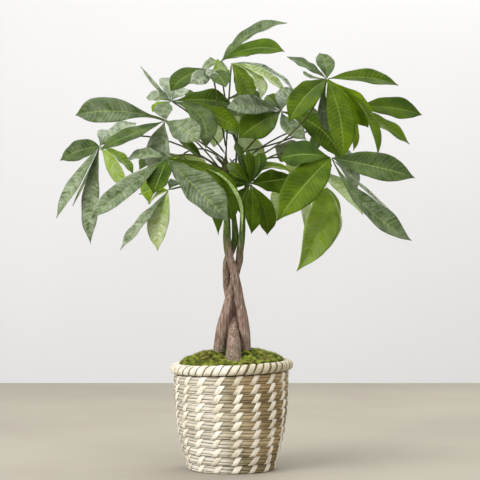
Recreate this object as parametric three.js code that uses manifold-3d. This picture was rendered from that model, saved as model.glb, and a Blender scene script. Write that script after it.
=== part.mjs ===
// Potted money tree: three plaited stems with palmate leaves, in a coiled seagrass basket.
// Millimetres, +Z up. The origin is the centre of the basket's underside, on the table.
import * as THREE from "three";
import { mergeVertices } from "three/addons/utils/BufferGeometryUtils.js";
import Module from "manifold-3d";

const wasm = await Module();
wasm.setup();

// Driving dimensions.
const GAP = 0.3;                    // clearance between pieces that touch
const BASKET_ROWS = 11;             // coil rows under the rim row
const ROWS_HEIGHT = 129;            // height of those rows together
const BASE_RADIUS = 57;             // basket wall at the table
const WALL_RADIUS = 76.6;           // basket wall under the rim
const WALL_CURVE = 2.2;             // how fast the wall turns upright
const COIL_THICKNESS = 10.5;        // seagrass bundle, across the wall
const COIL_RELIEF = 2.2;            // depth of the groove between two rows
const FLOOR_THICKNESS = 8;
const RIM_CENTRE = [75, 136.3];     // middle of the rim row's section: radius, height
const RIM_CORE = 6;                 // half the rim bundle
const RIM_WRAP = 7.3;               // half the rim row with its wrap
const RIM_TILT = 0.035;             // the rim climbs to the right, as it does on a hand-made basket
const TILT_START = 12;              // the floor and the first row lie flat
const WRAP_STRIPS = 32;             // turns of palm strip round the rim
const WRAP_LEAN = 6;                // how far a strip leans, right at its top
const WRAP_RIDGE = 0.5;
const STITCH_WIDTH = 6.4;
const STITCH_LEAN = 5.6;
const STITCH_INSET = 0.4;           // a stitch ends this far from the groove
const STITCH_THICKNESS = 1.5;
const STITCH_STEP_TOP = 18;         // degrees between stitch columns under the rim
const STITCH_STEP_BASE = 24;        // and at the base
const STITCH_FRONT = -84;           // bearing of the middle column, just right of the front
const POT_FOOT = 45.5;
const POT_TOP = 63;
const POT_HEIGHT = 124;             // height of the pot's lip above the table
const POT_WALL = 1.8;
const SOIL_TOP = 119.7;
const MOSS_TOP = 158.5;             // crown of the moss, behind the stems
const MOSS_DIP = 12;                // the moss lies lower in front, where it bares the front stem's foot
const MOSS_ROUGHNESS = 0.55;
const BLADE_THICKNESS = 0.8;
const PETIOLE_RADIUS = 1.3;
const PETIOLE_FOOT = 1.9;           // the swollen foot of a leaf stalk
const HUB_RADIUS = 2.8;             // the joint from which leaflets radiate

const COLOURS = {
  seagrass: [0x9a8a66, 0.75],
  palm: [0xe9e0cc, 0.6],
  pot: [0x1d1d1e, 0.55],
  soil: [0x3a2a1e, 0.95],
  moss: [0x6d8a2c, 0.95],
  bark: [0x8a7060, 0.8],
  leaf: [0x3f6b22, 0.4],
};

// Group and helpers.
const tree = new THREE.Group();
tree.name = "money_tree";

function materialOf(name) {
  const [color, roughness] = COLOURS[name];
  return new THREE.MeshStandardMaterial({ color, roughness, metalness: 0 });
}

function toSolid(geometry) {
  const bare = geometry.clone();
  bare.deleteAttribute("normal");
  bare.deleteAttribute("uv");
  const merged = mergeVertices(bare, 1e-4);
  const corners = merged.index.array;
  const kept = [];
  for (let i = 0; i < corners.length; i += 3) {
    const [a, b, c] = [corners[i], corners[i + 1], corners[i + 2]];
    if (a !== b && b !== c && c !== a) {
      kept.push(a, b, c);
    }
  }
  const vertProperties = new Float32Array(merged.attributes.position.array);
  return new wasm.Manifold(new wasm.Mesh({ numProp: 3, vertProperties, triVerts: new Uint32Array(kept) }));
}

function join(solids) {
  return solids.reduce((whole, piece) => whole.add(piece));
}

function addPiece(name, solid, colour) {
  const mesh = solid.getMesh();
  const geometry = new THREE.BufferGeometry();
  geometry.setAttribute("position", new THREE.BufferAttribute(new Float32Array(mesh.vertProperties), 3));
  geometry.setIndex(new THREE.BufferAttribute(new Uint32Array(mesh.triVerts), 1));
  geometry.computeVertexNormals();
  const piece = new THREE.Mesh(geometry, materialOf(colour));
  piece.name = name;
  tree.add(piece);
}

function reshape(geometry, place) {
  const position = geometry.attributes.position;
  const point = new THREE.Vector3();
  for (let i = 0; i < position.count; i += 1) {
    point.fromBufferAttribute(position, i);
    place(point);
    position.setXYZ(i, point.x, point.y, point.z);
  }
  return geometry;
}

// A profile of [radius, height] points, turned about the upright axis.
function turned(profile, segments) {
  const points = profile.map(([radius, height]) => new THREE.Vector2(radius, height));
  return new THREE.LatheGeometry(points, segments).rotateX(Math.PI / 2);
}

// The tilt of the rim, which fades out towards the floor.
function tilt(geometry) {
  const span = RIM_CENTRE[1] - TILT_START;
  return reshape(geometry, (point) => {
    point.z += RIM_TILT * point.x * Math.max(0, (point.z - TILT_START) / span);
  });
}

// A round tapered stem along a curve: radiusAt takes the share of the length.
function taperedStem(curve, radiusAt, sides, steps) {
  const frames = curve.computeFrenetFrames(steps, false);
  return reshape(new THREE.CylinderGeometry(1, 1, 1, sides, steps), (point) => {
    const share = point.y + 0.5;
    const step = Math.round(share * steps);
    const radius = radiusAt(share);
    const side = frames.normals[step].clone().multiplyScalar(point.x * radius);
    const front = frames.binormals[step].clone().multiplyScalar(-point.z * radius);
    point.copy(curve.getPointAt(share)).add(side).add(front);
  });
}

// Basket. One bundle of seagrass winds up in rows, widest at each row's middle.
const ROW_HEIGHT = ROWS_HEIGHT / BASKET_ROWS;
const BASKET_SEGMENTS = 30;

function wallRadius(height) {
  const below = Math.max(0, 1 - height / ROWS_HEIGHT);
  return WALL_RADIUS - (WALL_RADIUS - BASE_RADIUS) * below ** WALL_CURVE;
}

function grooveRadius(height) {
  return wallRadius(height) - COIL_RELIEF;
}

// A point on the rim row's section, at a bearing in degrees from its outer side.
function rimPoint(half, bearing) {
  const angle = THREE.MathUtils.degToRad(bearing);
  return [RIM_CENTRE[0] + half * Math.cos(angle), RIM_CENTRE[1] + half * Math.sin(angle)];
}

const RIM_BEARINGS = [-20, 50, 130, 200];

function coilProfile() {
  const outer = [[0, 0], [grooveRadius(0), 0]];
  for (let row = 0; row < BASKET_ROWS; row += 1) {
    const foot = row * ROW_HEIGHT;
    outer.push([wallRadius(foot + ROW_HEIGHT / 2), foot + ROW_HEIGHT / 2]);
    outer.push([grooveRadius(foot + ROW_HEIGHT), foot + ROW_HEIGHT]);
  }
  const top = RIM_BEARINGS.map((bearing) => rimPoint(RIM_CORE, bearing));
  const inner = [0.95, 0.6, 0.3].map((share) => {
    const level = share * ROWS_HEIGHT;
    return [wallRadius(level) - COIL_THICKNESS, level];
  });
  const floorEdge = [wallRadius(FLOOR_THICKNESS) - COIL_THICKNESS, FLOOR_THICKNESS];
  return [...outer, ...top, ...inner, floorEdge, [0, FLOOR_THICKNESS]];
}

const basketCoil = toSolid(tilt(turned(coilProfile(), BASKET_SEGMENTS)));
addPiece("basket_coil", basketCoil, "seagrass");

// Stitching. Palm strip wraps the rim row, and a stitch holds each row to the next, column by column.
function rimWrap() {
  const [radius, height] = RIM_CENTRE;
  const inside = RIM_CORE + GAP * 1.5;
  const skirt = [[radius + 0.5, ROWS_HEIGHT - 0.8], [radius + 2, ROWS_HEIGHT - 1.2]];
  const skin = [-15, 45, 90, 135, 205].map((bearing) => rimPoint(RIM_WRAP, bearing));
  const lining = [...RIM_BEARINGS].reverse().map((bearing) => rimPoint(inside, bearing));
  const columns = 2 * WRAP_STRIPS;
  return reshape(turned([...skirt, ...skin, ...lining, skirt[0]], columns), (point) => {
    const reach = Math.hypot(point.x, point.y);
    const away = Math.hypot(reach - radius, point.z - height);
    const column = Math.round((Math.atan2(point.y, point.x) / (2 * Math.PI)) * columns);
    const ridge = away > inside * 1.05 && point.z > ROWS_HEIGHT && column % 2 === 0 ? WRAP_RIDGE / away : 0;
    const lean = ((point.z - height) / (2 * RIM_WRAP)) * (WRAP_LEAN / radius) * Math.sign(reach - radius);
    const bearing = Math.atan2(point.y, point.x) + lean;
    const grown = radius + (reach - radius) * (1 + ridge);
    point.set(grown * Math.cos(bearing), grown * Math.sin(bearing), height + (point.z - height) * (1 + ridge));
  });
}

// Columns stand closer under the rim, so the maker starts more of them at the back as the wall widens.
function columnStep(groove) {
  return STITCH_STEP_BASE + (STITCH_STEP_TOP - STITCH_STEP_BASE) * (groove / BASKET_ROWS);
}

function columnFits(column, groove) {
  return (Math.abs(column) + 0.5) * columnStep(groove) <= 180;
}

// One column of stitches: each leans right at its top, then steps back to start the next.
function stitchColumn(column) {
  let first = 0;
  while (!columnFits(column, first)) {
    first += 1;
  }
  const rows = BASKET_ROWS - first;
  const steps = 3 * rows - 1;
  const rod = new THREE.CylinderGeometry(1, 1, 1, 3, steps);
  return reshape(rod, (point) => {
    const station = Math.round((point.y + 0.5) * steps);
    const row = first + Math.floor(station / 3);
    const place = (station % 3) / 2;
    const middle = place === 0.5;
    const inset = middle ? 0 : STITCH_INSET * Math.sign(0.5 - place);
    const level = (row + place) * ROW_HEIGHT + inset;
    const surface = middle ? wallRadius(level) : grooveRadius((row + place) * ROW_HEIGHT);
    const crest = (point.z + 0.5) / 1.5;
    const reach = surface + GAP + (middle ? 0.2 : 0.5) + STITCH_THICKNESS * crest;
    const side = (point.x / Math.sin(Math.PI / 3)) * (STITCH_WIDTH / 2);
    const turn = THREE.MathUtils.degToRad(STITCH_FRONT + column * columnStep(row + place));
    const bearing = turn + (side + (place - 0.5) * STITCH_LEAN) / surface;
    point.set(reach * Math.cos(bearing), reach * Math.sin(bearing), level);
  });
}

const stitching = [toSolid(tilt(rimWrap()))];
for (let column = 0; columnFits(column, BASKET_ROWS); column += 1) {
  stitching.push(toSolid(tilt(stitchColumn(column))));
  if (column > 0) {
    stitching.push(toSolid(tilt(stitchColumn(-column))));
  }
}
addPiece("basket_stitching", join(stitching), "palm");

// Grower pot, soil and moss, each turned.
const INNER_SEGMENTS = 18;
const potFloor = FLOOR_THICKNESS + GAP;
const potLip = POT_TOP + POT_WALL;
const potProfile = [
  [0, potFloor], [POT_FOOT, potFloor], [POT_TOP - 0.5, POT_HEIGHT - 6], [potLip, POT_HEIGHT - 6],
  [potLip, POT_HEIGHT], [POT_TOP - POT_WALL, POT_HEIGHT],
  [POT_FOOT - POT_WALL, potFloor + POT_WALL], [0, potFloor + POT_WALL],
];
addPiece("grower_pot", toSolid(turned(potProfile, INNER_SEGMENTS)), "pot");

const potSlope = (POT_TOP - POT_FOOT) / (POT_HEIGHT - potFloor);
const soilRadius = (height) => POT_FOOT + (height - potFloor) * potSlope - POT_WALL - 2 * GAP;
const soilFoot = potFloor + POT_WALL + GAP;
const soilEdge = SOIL_TOP - 2;
const soilProfile = [
  [0, soilFoot], [soilRadius(soilFoot), soilFoot], [soilRadius(soilEdge), soilEdge], [0, SOIL_TOP],
];
const soilBlock = toSolid(turned(soilProfile, INNER_SEGMENTS));

function mossDome() {
  const under = SOIL_TOP + GAP;
  const edge = RIM_CENTRE[0] - RIM_WRAP - 1.2;
  const crest = edge + 3.2;
  const profile = [
    [0, under], [soilRadius(soilEdge) - 2, under], [soilRadius(soilEdge), POT_HEIGHT + 4],
    [edge - 0.4, POT_HEIGHT + 5], [edge, 138], [crest, 144.6],
    [58, 151], [38, 157], [16, MOSS_TOP], [0, MOSS_TOP],
  ];
  const dome = turned(profile, INNER_SEGMENTS);
  return reshape(dome, (point) => {
    if (point.z > POT_HEIGHT + 20) {
      const wave = Math.sin(point.x * 0.31) + Math.sin(point.y * 0.37 + 1) + Math.sin((point.x + point.y) * 0.23);
      const reach = Math.hypot(point.x, point.y);
      const dip = Math.sin(Math.PI * Math.min(1, reach / crest)) * Math.max(0, -point.y / Math.max(reach, 1));
      point.z += MOSS_ROUGHNESS * wave - MOSS_DIP * dip;
    }
  });
}

// Stems. Rows give the centre line and half thickness: x, y, z, radius, from the foot in the soil up.
const STEMS = {
  stem_right: [
    [22, 8, 90, 7.5], [20.5, 7, 125, 8.4], [18.4, 5, 156, 8.4], [17.2, 3, 185, 7.6], [14.6, 0, 205, 6.8],
    [10.8, -4, 225, 6.2], [9, -6, 239, 5.8], [5.9, -8, 252, 5.6], [3, -8, 266, 5.6], [-1.3, -7.5, 279, 5.5],
    [-4.5, -7, 292, 5.4], [-6, -6, 306, 5.3], [-6, -4, 319, 5], [-6, -3, 335, 4.4], [-7, -3, 360, 4.1],
    [-8, -4, 390, 3.9], [-8, -4, 415, 3.4], [-6.5, -4, 441, 2],
  ],
  stem_left: [
    [-21, 10, 90, 7.5], [-18, 8, 125, 9], [-15.8, 6, 156, 8.9], [-12.7, 3, 185, 7.8], [-8, 0, 206, 6.8],
    [-3.3, 1, 225, 6.1], [0.3, 4.5, 239, 5.6], [3.5, 5.5, 252, 5.3], [7, 4, 266, 5.1], [10.5, 2.5, 279, 5],
    [11.4, 0.5, 292, 4.8], [13.4, -2, 306, 4.5], [14.5, -2, 319, 4.2], [15, -2, 333, 3.7],
    [15.5, -2, 350, 3.5], [19, -2, 372, 3.4], [23, -2, 400, 3.2], [25, -1, 424, 2],
  ],
  stem_front: [
    [5, -30, 90, 8], [4, -27, 125, 10.3], [3, -22, 147, 10.4], [3, -9.5, 172, 8.6], [2, 1, 185, 6.4],
    [1.5, 10, 198, 5.7], [0, 15, 212, 5.5], [-2, 15.5, 225, 5.4], [-5.5, 14.5, 239, 5.3],
    [-6.4, 11.5, 252, 5.2], [-6.7, 6.5, 266, 5.2], [-5.5, 5, 279, 5.1], [0, 5.5, 292, 5], [4.5, 5.5, 306, 4.8],
    [4.7, 4.5, 319, 4.3], [3.5, 4.5, 333, 3.4], [2.5, 5, 346, 3.2], [3, 8, 380, 3.4], [6, 10, 410, 3.2],
    [8, 10, 450, 2],
  ],
};
const STEM_SIDES = 8;
const STEM_STEPS = 22;

function stemSolid(rows, clearance) {
  const curve = new THREE.CatmullRomCurve3(rows.map(([x, y, z]) => new THREE.Vector3(x, y, z)));
  const radiusAt = (share) => {
    const place = curve.getUtoTmapping(share) * (rows.length - 1);
    const below = Math.min(rows.length - 2, Math.floor(place));
    const mix = place - below;
    return rows[below][3] * (1 - mix) + rows[below + 1][3] * mix + clearance;
  };
  return toSolid(taperedStem(curve, radiusAt, STEM_SIDES, STEM_STEPS));
}

const sleeves = {};
for (const [name, rows] of Object.entries(STEMS)) {
  addPiece(name, stemSolid(rows, 0), "bark");
  sleeves[name] = stemSolid(rows, GAP);
}
const allSleeves = join(Object.values(sleeves));
addPiece("soil", soilBlock.subtract(allSleeves), "soil");
addPiece("moss", toSolid(tilt(mossDome())).subtract(allSleeves), "moss");

// Leaves. Each has the stem it grows from, its foot there, a bend and the hub of its stalk, the way its
// upper side faces, and its leaflets: tip from the hub x, y, z, then width, arch and roll in degrees.
const LEAVES = {
  leaf_a: {
    stem: "stem_right", foot: [-8, -4, 398], bend: [-110, -10, 470], hub: [-175, -20, 431], face: [-0.5, -0.3, 0.8],
    leaflets: [
      [-54, 70, -19, 34, 12, -50], [-61, -20, -94, 34, 12, -22], [-11, -12, -131, 29, 10, -35],
      [30, -45, -66, 36, 12, 0], [42, 60, 32, 28, 8, 0], [-9, 90, 17, 30, 10, 0], [-40, 40, -81, 24, 8, 0],
    ],
  },
  leaf_b: {
    stem: "stem_right", foot: [-8, -4, 412], bend: [-42, -45, 438], hub: [-87, -50, 462], face: [-0.2, -0.55, 0.8],
    leaflets: [
      [-118, -25, 9, 44, 14, -25], [-84, -60, -33, 34, 10, 0], [-7, 0, -75, 36, 10, 0],
      [42, -85, -32, 36, 14, 0], [30, 70, -6, 30, 10, 0],
    ],
  },
  leaf_c: {
    stem: "stem_right", foot: [-8, -4, 420], bend: [-40, -2, 470], hub: [-81, 0, 492], face: [0.1, -0.4, 0.9],
    leaflets: [
      [-34, 50, 0, 28, 12, -40], [-44, 70, 54, 18, 8, 60], [-4, 90, 32, 18, 8, 0],
      [83, -50, -14, 38, 10, 25], [47, -25, -66, 36, 30, 0], [-8, -85, -23, 32, 14, 0],
    ],
  },
  leaf_d: {
    stem: "stem_right", foot: [-7, -4, 427], bend: [-16, -6, 480], hub: [-26, -10, 533], face: [-0.1, -0.4, 0.9],
    leaflets: [
      [-56, -60, -35, 36, 14, -15], [-27, -85, -22, 30, 10, 0], [10, -75, -27, 28, 12, 0],
      [-15, 80, 11, 28, 10, 0],
    ],
  },
  leaf_e: {
    stem: "stem_front", foot: [8, 10, 436], bend: [-12, 30, 490], hub: [-14, 20, 548], face: [0.1, -0.4, 0.9],
    leaflets: [
      [89, 20, 54, 28, 18, 0], [87, -30, 14, 36, 12, 30], [-27, 65, -1, 28, 10, 0], [40, 90, 20, 32, 12, 0],
    ],
  },
  leaf_f: {
    stem: "stem_right", foot: [-8, -4, 384], bend: [-30, -70, 430], hub: [-82, -110, 410], face: [0.1, -0.75, 0.65],
    leaflets: [
      [-97, -12, -76, 42, 12, 0], [-22, -60, -50, 36, 12, 0], [83, -34, -81, 56, 16, -10],
      [99, 30, -90, 42, 40, 0], [-50, 70, -9, 32, 10, 0],
    ],
  },
  leaf_g: {
    stem: "stem_left", foot: [24, -1, 412], bend: [100, -30, 445], hub: [126, -40, 518], face: [0.05, -0.5, 0.85],
    leaflets: [
      [-53, 60, 34, 26, 8, 0], [-7, 65, 46, 28, 6, 0], [95, 20, -8, 32, 12, 15],
      [67, -20, -101, 30, 30, -40], [21, -40, -104, 42, 14, 0], [-53, -50, -55, 38, 12, 0], [-35, 70, 5, 26, 8, 0],
    ],
  },
  leaf_h: {
    stem: "stem_front", foot: [7, 10, 423], bend: [85, 70, 440], hub: [164, 10, 484], face: [0.3, -0.3, 0.9],
    leaflets: [
      [96, 20, -8, 40, 12, 35], [75, -20, -48, 32, 12, 20], [-4, -40, -75, 22, 8, 0],
      [50, 85, 5, 34, 10, 0], [-40, 75, 0, 30, 10, 0],
    ],
  },
  leaf_i: {
    stem: "stem_left", foot: [23, -2, 398], bend: [75, -60, 440], hub: [128, -100, 411], face: [0.1, -0.75, 0.65],
    leaflets: [
      [-70, -35, -82, 50, 12, 0], [-65, 15, 0, 36, 22, 0], [109, -10, -26, 42, 14, 0],
      [86, 20, -75, 36, 10, 60], [102, -15, -102, 42, 14, 0],
    ],
  },
  leaf_j: {
    stem: "stem_left", foot: [21, -2, 384], bend: [75, -35, 395], hub: [125, -60, 375], face: [0.4, -0.6, 0.7],
    leaflets: [
      [-39, -20, -104, 42, 24, 0], [-18, 12, -86, 40, 16, 0], [-27, 40, -56, 28, 10, 0], [65, 50, -25, 34, 12, 0],
    ],
  },
  leaf_m: {
    stem: "stem_front", foot: [6.3, 10, 413], bend: [40, 10, 450], hub: [67, 20, 480], face: [0, -0.45, 0.9],
    leaflets: [
      [81, -25, -64, 38, 12, 0], [-18, 80, 20, 28, 10, 0], [25, 75, 25, 30, 10, 0],
      [-74, 30, 5, 34, 12, 0], [-55, -55, -37, 40, 14, 0], [-2, -70, -40, 32, 12, 0],
    ],
  },
  leaf_n: {
    stem: "stem_front", foot: [7.5, 10, 431], bend: [0, 30, 460], hub: [-11, 60, 471], face: [0, -0.3, 0.95],
    leaflets: [
      [22, -45, -25, 26, 10, 0], [-14, -30, -30, 22, 8, 0], [-40, 30, 0, 24, 8, 0], [30, 50, 0, 24, 8, 0],
    ],
  },
  leaf_o: {
    stem: "stem_right", foot: [-7.6, -4, 374], bend: [-40, -40, 385], hub: [-82, -60, 371], face: [-0.2, -0.6, 0.8],
    leaflets: [
      [-62, -30, -78, 24, 12, 0], [-13, -20, -79, 34, 12, 0], [-26, 30, -18, 24, 6, 0],
      [-58, 45, -10, 26, 8, 0], [30, 50, 10, 28, 10, 0],
    ],
  },
  leaf_p: {
    stem: "stem_left", foot: [20, -2, 377], bend: [22, -25, 385], hub: [25, -40, 380], face: [0.1, -0.7, 0.7],
    leaflets: [
      [55, -50, 2, 38, 4, 0], [50, 40, 25, 34, 10, 0], [3, -25, -64, 36, 10, 0],
      [24, 12, -67, 34, 10, 0], [-13, 25, -39, 28, 8, 0], [-18, 15, 58, 22, 8, 0],
    ],
  },
  leaf_q: {
    stem: "stem_right", foot: [-6.7, -4, 435], bend: [-4, -8, 490], hub: [0, -20, 541], face: [0.1, -0.4, 0.9],
    leaflets: [
      [25, -65, -53, 36, 12, 0], [42, 8, -46, 34, 24, 0], [72, 0, -38, 32, 14, 0],
      [86, 38, -35, 30, 14, 0], [12, 42, -35, 24, 8, 0],
    ],
  },
  leaf_r: {
    stem: "stem_right", foot: [-8, -4, 405], bend: [-35, 50, 445], hub: [-70, 95, 425], face: [-0.2, 0.4, 0.9],
    leaflets: [
      [-47, 10, -67, 34, 12, 0], [45, 40, -60, 34, 12, 0], [-60, 80, -20, 34, 12, 0], [0, 100, -30, 36, 14, 0],
      [35, 65, -5, 32, 10, 0],
    ],
  },
  leaf_s: {
    stem: "stem_left", foot: [24, -1, 405], bend: [60, 50, 430], hub: [100, 110, 412], face: [0.1, 0.3, 0.9],
    leaflets: [
      [-45, 0, -70, 26, 10, 0], [40, 0, -70, 32, 12, 0], [-10, 90, -20, 34, 12, 0], [55, 60, -10, 32, 12, 0],
      [-50, 70, 10, 34, 10, 0],
    ],
  },
  leaf_t: {
    stem: "stem_front", foot: [8, 10, 447], bend: [14, 50, 500], hub: [-20, 125, 500], face: [0, 0.4, 0.9],
    leaflets: [
      [-75, 20, -30, 34, 12, 0], [60, 30, -40, 34, 12, 0], [0, -35, -45, 30, 12, 0], [60, 70, 10, 34, 12, 0],
      [-50, 75, 10, 34, 12, 0],
    ],
  },
  leaf_u: {
    stem: "stem_left", foot: [24.5, -1, 419], bend: [80, 60, 465], hub: [140, 110, 470], face: [0.2, 0.4, 0.9],
    leaflets: [
      [75, 60, -5, 36, 12, 0], [30, 25, -85, 32, 12, 0], [-40, -20, -70, 34, 12, 0], [-60, 70, 30, 34, 12, 0],
      [20, 95, 0, 36, 12, 0],
    ],
  },
  leaf_v: {
    stem: "stem_right", foot: [-8, -4, 391], bend: [-90, 60, 440], hub: [-150, 90, 480], face: [-0.2, 0.4, 0.9],
    leaflets: [
      [40, 40, -12, 32, 8, 0], [-40, 55, 5, 32, 10, 0], [0, 95, 5, 34, 10, 0], [-45, 20, -75, 30, 12, 0],
    ],
  },
};

// A leaflet narrows to its stalk and to a drawn-out tip, and folds up a little at the midrib.
const BLADE_SHARES = [0, 0.09, 0.33, 0.6, 1];
const BLADE_WIDTHS = [0, 0.05, 0.76, 1, 0];
const BLADE_FOLD = 0.22;

function leaflet(hub, face, [x, y, z, width, arch, roll]) {
  const tip = new THREE.Vector3(x, y, z);
  const chord = tip.clone().normalize();
  const up = face.clone().addScaledVector(chord, -face.dot(chord)).normalize();
  const bow = new THREE.QuadraticBezierCurve3(
    hub.clone().addScaledVector(chord, HUB_RADIUS * 0.4),
    hub.clone().addScaledVector(tip, 0.5).addScaledVector(up, arch),
    hub.clone().add(tip),
  );
  up.applyAxisAngle(chord, THREE.MathUtils.degToRad(roll));
  const rows = BLADE_SHARES.length - 1;
  return reshape(new THREE.BoxGeometry(2, 1, 1, 2, rows, 1), (point) => {
    const row = Math.round((point.y + 0.5) * rows);
    const along = bow.getTangent(BLADE_SHARES[row]);
    const normal = up.clone().addScaledVector(along, -up.dot(along)).normalize();
    const across = along.clone().cross(normal);
    const half = (width / 2) * BLADE_WIDTHS[row];
    const rise = Math.abs(point.x) * half * BLADE_FOLD + point.z * BLADE_THICKNESS;
    const offset = point.x * half;
    point.copy(bow.getPoint(BLADE_SHARES[row])).addScaledVector(across, offset).addScaledVector(normal, rise);
  });
}

function leafSolid({ stem, foot, bend, hub, face, leaflets }) {
  const hubPoint = new THREE.Vector3(...hub);
  const stalk = new THREE.QuadraticBezierCurve3(new THREE.Vector3(...foot), new THREE.Vector3(...bend), hubPoint);
  const radiusAt = (share) => PETIOLE_RADIUS + (PETIOLE_FOOT - PETIOLE_RADIUS) * Math.max(0, 1 - share * 8);
  const stalkSolid = toSolid(taperedStem(stalk, radiusAt, 5, 5));
  const hubSolid = toSolid(new THREE.OctahedronGeometry(HUB_RADIUS).translate(...hub));
  const facing = new THREE.Vector3(...face).normalize();
  const blades = leaflets.map((row) => toSolid(leaflet(hubPoint, facing, row)));
  return join([stalkSolid, hubSolid, ...blades]).subtract(sleeves[stem]);
}

for (const [name, leaf] of Object.entries(LEAVES)) {
  addPiece(name, leafSolid(leaf), "leaf");
}

export default tree;
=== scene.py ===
# Potted money tree: plaited stems and palmate leaves in a coiled seagrass basket, dressed for the render.
# +Z up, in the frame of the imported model: the basket stands on Z = 0 and its front faces -Y. Sizes are in
# metres, but for the tables of stems, stubs and leaves, which are in millimetres.
import math
import random

import bpy
import numpy as np
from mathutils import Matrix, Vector, noise


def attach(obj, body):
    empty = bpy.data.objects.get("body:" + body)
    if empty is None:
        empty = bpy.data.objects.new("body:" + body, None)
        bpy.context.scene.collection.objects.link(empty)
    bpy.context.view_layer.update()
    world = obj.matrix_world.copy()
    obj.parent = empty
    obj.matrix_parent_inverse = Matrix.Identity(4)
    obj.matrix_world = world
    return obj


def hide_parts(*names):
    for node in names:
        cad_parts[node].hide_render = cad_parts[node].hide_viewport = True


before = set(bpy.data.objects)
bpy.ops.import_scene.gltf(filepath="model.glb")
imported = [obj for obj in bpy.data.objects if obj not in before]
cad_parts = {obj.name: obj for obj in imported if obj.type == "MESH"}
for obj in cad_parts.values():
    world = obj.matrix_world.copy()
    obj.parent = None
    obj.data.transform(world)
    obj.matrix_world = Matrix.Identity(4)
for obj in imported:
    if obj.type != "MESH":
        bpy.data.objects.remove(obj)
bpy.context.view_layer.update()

bpy.ops.object.select_all(action="DESELECT")


# Basket rows. One bundle of dried seagrass winds round in eleven rows, each bedded on the one below.
# Every row is a ring of loose twisted blades, bulging where it is free and pinched in where two rows meet.
ROWS = 11
ROWS_HEIGHT = 0.129
ROW_HEIGHT = ROWS_HEIGHT / ROWS
BASE_RADIUS = 0.057
WALL_RADIUS = 0.0766
WALL_CURVE = 2.2
BUNDLE_DEPTH = 0.0105
BUNDLE_HEIGHT = 0.0124
FLOOR_THICKNESS = 0.008
FLOOR_RINGS = 5
FLOOR_OVERLAP = 1.04
TABLE_GAP = 0.0002
RIM_RADIUS = 0.075
RIM_HEIGHT = 0.1363
RIM_CORE = 0.006
RIM_TILT = 0.035
TILT_START = 0.012
# How round the section of a bundle is: 1 is round, and less is boxier.
ROW_ROUNDNESS = 0.55
FLOOR_ROUNDNESS = 0.8
RIM_ROUNDNESS = 1
GRASS_BLADES = 9
GRASS_TWIST = 4
GRASS_RELIEF = 0.0011
GRASS_SLACK = 0.0004
GRASS_LUMPS = 0.00025
ROW_WAVER = 0.00035
# The crease between two rows: how far round the section it starts, in radians, and how wide it opens.
CREASE_FROM = 1.0
CREASE_WIDTH = 0.4
# How much painted shade the rim bundle gets all over, where it shows in the gaps between the turns of palm
# strip.
RIM_BUNDLE_SHADE = 0.7
ROW_STEPS = 180
SECTION_STEPS = 32
# The floor and the rim count on from here as rows, so that their blades lie unlike those of the wall.
FLOOR_ROW = 20
RIM_ROW = 12


def read_points(mesh):
    flat = np.empty(len(mesh.vertices) * 3, np.float32)
    mesh.vertices.foreach_get("co", flat)
    return flat.reshape(-1, 3).astype(float)


def write_points(mesh, points):
    mesh.vertices.foreach_set("co", np.asarray(points, np.float32).ravel())
    mesh.update()


def read_uvs(mesh):
    flat = np.empty(len(mesh.loops) * 2, np.float32)
    mesh.uv_layers[0].data.foreach_get("uv", flat)
    return flat.reshape(-1, 2)


def write_uvs(mesh, uvs):
    mesh.uv_layers[0].data.foreach_set("uv", np.asarray(uvs, np.float32).ravel())


def shaped_copy(master, points, uvs=None, marks=None):
    """A copy of master with its own mesh, its points moved, and its patterns and marks set."""
    piece = master.copy()
    piece.data = master.data.copy()
    write_points(piece.data, points)
    if uvs is not None:
        write_uvs(piece.data, uvs)
    for label, values in (marks or {}).items():
        mark = piece.data.attributes.new(label, "FLOAT", "POINT")
        mark.data.foreach_set("value", np.broadcast_to(values, len(points)).astype(np.float32))
    bpy.context.scene.collection.objects.link(piece)
    return piece


def joined(pieces, name, masters=()):
    """Joins the pieces into one object, smooth shaded, and removes the masters they were copied from."""
    bpy.ops.object.select_all(action="DESELECT")
    for piece in pieces:
        piece.select_set(True)
    bpy.context.view_layer.objects.active = pieces[0]
    bpy.ops.object.join()
    whole = bpy.context.view_layer.objects.active
    whole.name = name
    bpy.ops.object.mode_set(mode="EDIT")
    bpy.ops.mesh.select_all(action="SELECT")
    bpy.ops.mesh.remove_doubles(threshold=0.00001)
    bpy.ops.object.mode_set(mode="OBJECT")
    bpy.ops.object.shade_smooth()
    for master in masters:
        bpy.data.objects.remove(master)
    bpy.ops.object.select_all(action="DESELECT")
    return whole


def coat(piece, material):
    piece.data.materials.clear()
    piece.data.materials.append(material)


def wall_radius(height):
    below = np.maximum(0, 1 - np.asarray(height) / ROWS_HEIGHT)
    return WALL_RADIUS - (WALL_RADIUS - BASE_RADIUS) * below ** WALL_CURVE


def tilted(points):
    """The basket leans up to its right, more towards the rim."""
    share = np.maximum(0, (points[:, 2] - TILT_START) / (RIM_HEIGHT - TILT_START))
    points[:, 2] += RIM_TILT * points[:, 0] * share
    return points


def bulge(share):
    """How far a row stands out at a share of its half height, from 1 at the middle."""
    height = np.clip(np.abs(share) * ROW_HEIGHT / BUNDLE_HEIGHT, 0, 1) ** 1.25
    return np.sqrt(1 - height ** 2) ** 0.55


def placed(reach, bearing, level):
    """Points at a distance from the basket's middle, a bearing round it and a height."""
    return np.stack([reach * np.cos(bearing), reach * np.sin(bearing), level], axis=1)


def row_centre(row):
    return wall_radius((row + 0.5) * ROW_HEIGHT) - BUNDLE_DEPTH / 2


def wobble(points, size, seed):
    """Smooth noise from -1 to 1 at each point, with features of the given size."""
    shift = Vector((seed * 7.3, seed * 3.1, seed * 5.7))
    return np.array([noise.noise(Vector(point) / size + shift) for point in points])


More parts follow.
